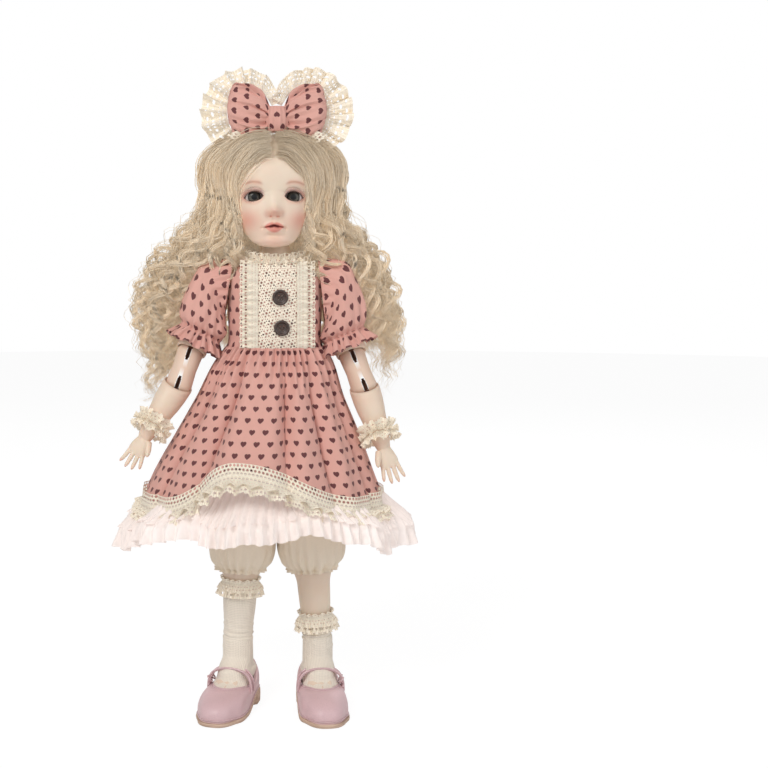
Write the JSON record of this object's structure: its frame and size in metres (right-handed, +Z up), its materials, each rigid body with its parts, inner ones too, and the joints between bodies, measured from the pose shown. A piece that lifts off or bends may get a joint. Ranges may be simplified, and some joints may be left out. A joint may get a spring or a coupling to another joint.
{
  "type": "ball jointed doll",
  "caption": "Dressed child doll with ball joints at neck, waist, shoulders, elbows, wrists, hips, knees and ankles, standing in a lace-hemmed frock, wig and strap shoes.",
  "frame": {"origin": "on the floor under the middle of the doll's bounding box", "axes": "+Z up along the body, the doll faces -Y, its own left hand is at +X"},
  "size_m": [0.1696, 0.1414, 0.33],
  "materials": {
    "resin": "satin, cream-pink with blushed joints",
    "print_cloth": "matt cotton, pink with small dark red hearts",
    "lace": "matt cotton lace",
    "petticoat_cloth": "sheer pleated voile",
    "bloomer_satin": "soft satin",
    "sock_knit": "fine knit",
    "hair": "silky fibre, pale ash blonde",
    "shoe_leather": "semi-gloss",
    "sole_leather": "matt",
    "eye_glass": "gloss",
    "button": "satin",
    "elastic": "woven cover",
    "hook_steel": "bright wire"
  },
  "bodies": {
    "pelvis": {"pelvis": "resin", "bloomers": "bloomer_satin"},
    "torso_elastic": {"torso_elastic": "elastic"},
    "chest": {"chest": "resin", "dress_bodice": "print_cloth", "dress_skirt": "print_cloth", "hem_lace": "lace", "petticoat": "petticoat_cloth", "neck_lace": "lace", "bib_lace": "lace", "button_upper": "button", "button_lower": "button"},
    "neck_elastic": {"neck_elastic": "elastic"},
    "neck_hook": {"neck_hook": "hook_steel"},
    "head": {"head_face": "resin", "head_cap": "resin", "left_eye": "eye_glass", "right_eye": "eye_glass", "wig_cap": "hair", "wig_left": "hair", "wig_right": "hair", "wig_back": "hair", "bow_knot": "print_cloth", "left_bow_loop": "print_cloth", "right_bow_loop": "print_cloth", "bow_lace": "lace"},
    "right_shoulder_elastic": {"right_shoulder_elastic": "elastic"},
    "right_upper_arm": {"right_upper_arm": "resin", "right_sleeve": "print_cloth"},
    "right_elbow_joint": {"right_elbow_joint": "resin"},
    "right_forearm": {"right_forearm": "resin", "right_wrist_lace": "lace"},
    "right_wrist_hook": {"right_wrist_hook": "hook_steel"},
    "right_hand": {"right_hand": "resin"},
    "right_hip_elastic": {"right_hip_elastic": "elastic"},
    "right_thigh": {"right_thigh": "resin"},
    "right_knee_joint": {"right_knee_joint": "resin"},
    "right_shin": {"right_shin": "resin", "right_sock": "sock_knit"},
    "right_ankle_hook": {"right_ankle_hook": "hook_steel"},
    "right_foot": {"right_foot": "resin", "right_shoe_upper": "shoe_leather", "right_shoe_sole": "sole_leather"},
    "left_shoulder_elastic": {"left_shoulder_elastic": "elastic"},
    "left_upper_arm": {"left_upper_arm": "resin", "left_sleeve": "print_cloth"},
    "left_elbow_joint": {"left_elbow_joint": "resin"},
    "left_forearm": {"left_forearm": "resin", "left_wrist_lace": "lace"},
    "left_wrist_hook": {"left_wrist_hook": "hook_steel"},
    "left_hand": {"left_hand": "resin"},
    "left_hip_elastic": {"left_hip_elastic": "elastic"},
    "left_thigh": {"left_thigh": "resin"},
    "left_knee_joint": {"left_knee_joint": "resin"},
    "left_shin": {"left_shin": "resin", "left_sock": "sock_knit"},
    "left_ankle_hook": {"left_ankle_hook": "hook_steel"},
    "left_foot": {"left_foot": "resin", "left_shoe_upper": "shoe_leather", "left_shoe_sole": "sole_leather"}
  },
  "joints": [
    {"name": "waist_tilt", "type": "hinge", "parent": "pelvis", "child": "torso_elastic", "pos_m": [0.01088, 0, 0.172], "axis": [0, 1, 0], "range_deg": [-8, 8]},
    {"name": "waist_bend", "type": "hinge", "parent": "torso_elastic", "child": "chest", "pos_m": [0.01088, 0, 0.172], "axis": [1, 0, 0], "range_deg": [-8, 9]},
    {"name": "neck_nod", "type": "hinge", "parent": "chest", "child": "neck_elastic", "pos_m": [0.01088, 0, 0.2405], "axis": [1, 0, 0], "range_deg": [-20, 12], "deforming": ["neck_lace", "wig_left", "wig_right", "wig_back"]},
    {"name": "neck_tilt", "type": "hinge", "parent": "neck_elastic", "child": "neck_hook", "pos_m": [0.01088, 0, 0.2405], "axis": [0, 1, 0], "range_deg": [-12, 12]},
    {"name": "neck_turn", "type": "hinge", "parent": "neck_hook", "child": "head", "pos_m": [0.01088, 0, 0.2405], "axis": [0, 0, 1], "range_deg": [-70, 70]},
    {"name": "right_shoulder_swing", "type": "hinge", "parent": "chest", "child": "right_shoulder_elastic", "pos_m": [-0.01632, 0, 0.2225], "axis": [-1, 0, 0], "range_deg": [-45, 150]},
    {"name": "right_shoulder_raise", "type": "hinge", "parent": "right_shoulder_elastic", "child": "right_upper_arm", "pos_m": [-0.01632, 0, 0.2225], "axis": [0, 1, 0], "range_deg": [-4, 80], "deforming": ["right_sleeve"]},
    {"name": "right_upper_elbow_bend", "type": "hinge", "parent": "right_upper_arm", "child": "right_elbow_joint", "pos_m": [-0.03355, -0.00394, 0.1809], "axis": [-0.9454, -0.0053, 0.3258], "range_deg": [-6, 55]},
    {"name": "right_lower_elbow_bend", "type": "hinge", "parent": "right_elbow_joint", "child": "right_forearm", "pos_m": [-0.03834, -0.0068, 0.16697], "axis": [-0.8495, 0.0377, 0.5263], "range_deg": [-7, 60]},
    {"name": "right_wrist_bend", "type": "hinge", "parent": "right_forearm", "child": "right_wrist_hook", "pos_m": [-0.05316, -0.01565, 0.14367], "axis": [-0.7005, 0.1104, 0.705], "range_deg": [-40, 40]},
    {"name": "right_wrist_turn", "type": "hinge", "parent": "right_wrist_hook", "child": "right_hand", "pos_m": [-0.05316, -0.01565, 0.14367], "axis": [0.6908, 0.3527, 0.6312], "range_deg": [-80, 80]},
    {"name": "right_hip_swing", "type": "hinge", "parent": "pelvis", "child": "right_hip_elastic", "pos_m": [-0.00362, 0, 0.142], "axis": [-1, 0, 0], "range_deg": [-15, 66]},
    {"name": "right_hip_spread", "type": "hinge", "parent": "right_hip_elastic", "child": "right_thigh", "pos_m": [-0.00362, 0, 0.142], "axis": [0, 1, 0], "range_deg": [0, 35]},
    {"name": "right_upper_knee_bend", "type": "hinge", "parent": "right_thigh", "child": "right_knee_joint", "pos_m": [-0.00589, 0, 0.09005], "axis": [0.999, 0, -0.0436], "range_deg": [0, 60]},
    {"name": "right_lower_knee_bend", "type": "hinge", "parent": "right_knee_joint", "child": "right_shin", "pos_m": [-0.00646, 0, 0.07706], "axis": [0.999, 0, -0.0436], "range_deg": [0, 60]},
    {"name": "right_ankle_bend", "type": "hinge", "parent": "right_shin", "child": "right_ankle_hook", "pos_m": [-0.00842, 0, 0.03211], "axis": [-0.9511, 0.309, 0], "range_deg": [-25, 25], "deforming": ["right_sock"]},
    {"name": "right_ankle_turn", "type": "hinge", "parent": "right_ankle_hook", "child": "right_foot", "pos_m": [-0.00842, 0, 0.03211], "axis": [0, 0, 1], "range_deg": [-25, 25]},
    {"name": "left_shoulder_swing", "type": "hinge", "parent": "chest", "child": "left_shoulder_elastic", "pos_m": [0.03808, 0, 0.2225], "axis": [-1, 0, 0], "range_deg": [-45, 150]},
    {"name": "left_shoulder_raise", "type": "hinge", "parent": "left_shoulder_elastic", "child": "left_upper_arm", "pos_m": [0.03808, 0, 0.2225], "axis": [0, -1, 0], "range_deg": [-4, 80], "deforming": ["left_sleeve"]},
    {"name": "left_upper_elbow_bend", "type": "hinge", "parent": "left_upper_arm", "child": "left_elbow_joint", "pos_m": [0.05124, -0.00394, 0.17944], "axis": [-0.9367, -0.0053, -0.35], "range_deg": [-6, 55]},
    {"name": "left_lower_elbow_bend", "type": "hinge", "parent": "left_elbow_joint", "child": "left_forearm", "pos_m": [0.05641, -0.0068, 0.16565], "axis": [-0.956, 0.0063, -0.2932], "range_deg": [-7, 60]},
    {"name": "left_wrist_bend", "type": "hinge", "parent": "left_forearm", "child": "left_wrist_hook", "pos_m": [0.06445, -0.01576, 0.13926], "axis": [-0.8934, -0.0474, -0.4468], "range_deg": [-40, 40]},
    {"name": "left_wrist_turn", "type": "hinge", "parent": "left_wrist_hook", "child": "left_hand", "pos_m": [0.06445, -0.01576, 0.13926], "axis": [-0.431, 0.3708, 0.8226], "range_deg": [-80, 80]},
    {"name": "left_hip_swing", "type": "hinge", "parent": "pelvis", "child": "left_hip_elastic", "pos_m": [0.02538, 0, 0.142], "axis": [-1, 0, 0], "range_deg": [-15, 66], "deforming": ["dress_skirt", "hem_lace", "petticoat", "bloomers"]},
    {"name": "left_hip_spread", "type": "hinge", "parent": "left_hip_elastic", "child": "left_thigh", "pos_m": [0.02538, 0, 0.142], "axis": [0, -1, 0], "range_deg": [0, 35]},
    {"name": "left_upper_knee_bend", "type": "hinge", "parent": "left_thigh", "child": "left_knee_joint", "pos_m": [0.02901, 0, 0.09013], "axis": [0.9976, 0, 0.0698], "range_deg": [0, 60]},
    {"name": "left_lower_knee_bend", "type": "hinge", "parent": "left_knee_joint", "child": "left_shin", "pos_m": [0.02991, 0, 0.07716], "axis": [0.9976, 0, 0.0698], "range_deg": [0, 60]},
    {"name": "left_ankle_bend", "type": "hinge", "parent": "left_shin", "child": "left_ankle_hook", "pos_m": [0.03305, 0, 0.03227], "axis": [-0.9945, -0.1045, 0], "range_deg": [-25, 25], "deforming": ["left_sock"]},
    {"name": "left_ankle_turn", "type": "hinge", "parent": "left_ankle_hook", "child": "left_foot", "pos_m": [0.03305, 0, 0.03227], "axis": [0, 0, 1], "range_deg": [-25, 25]}
  ]
}
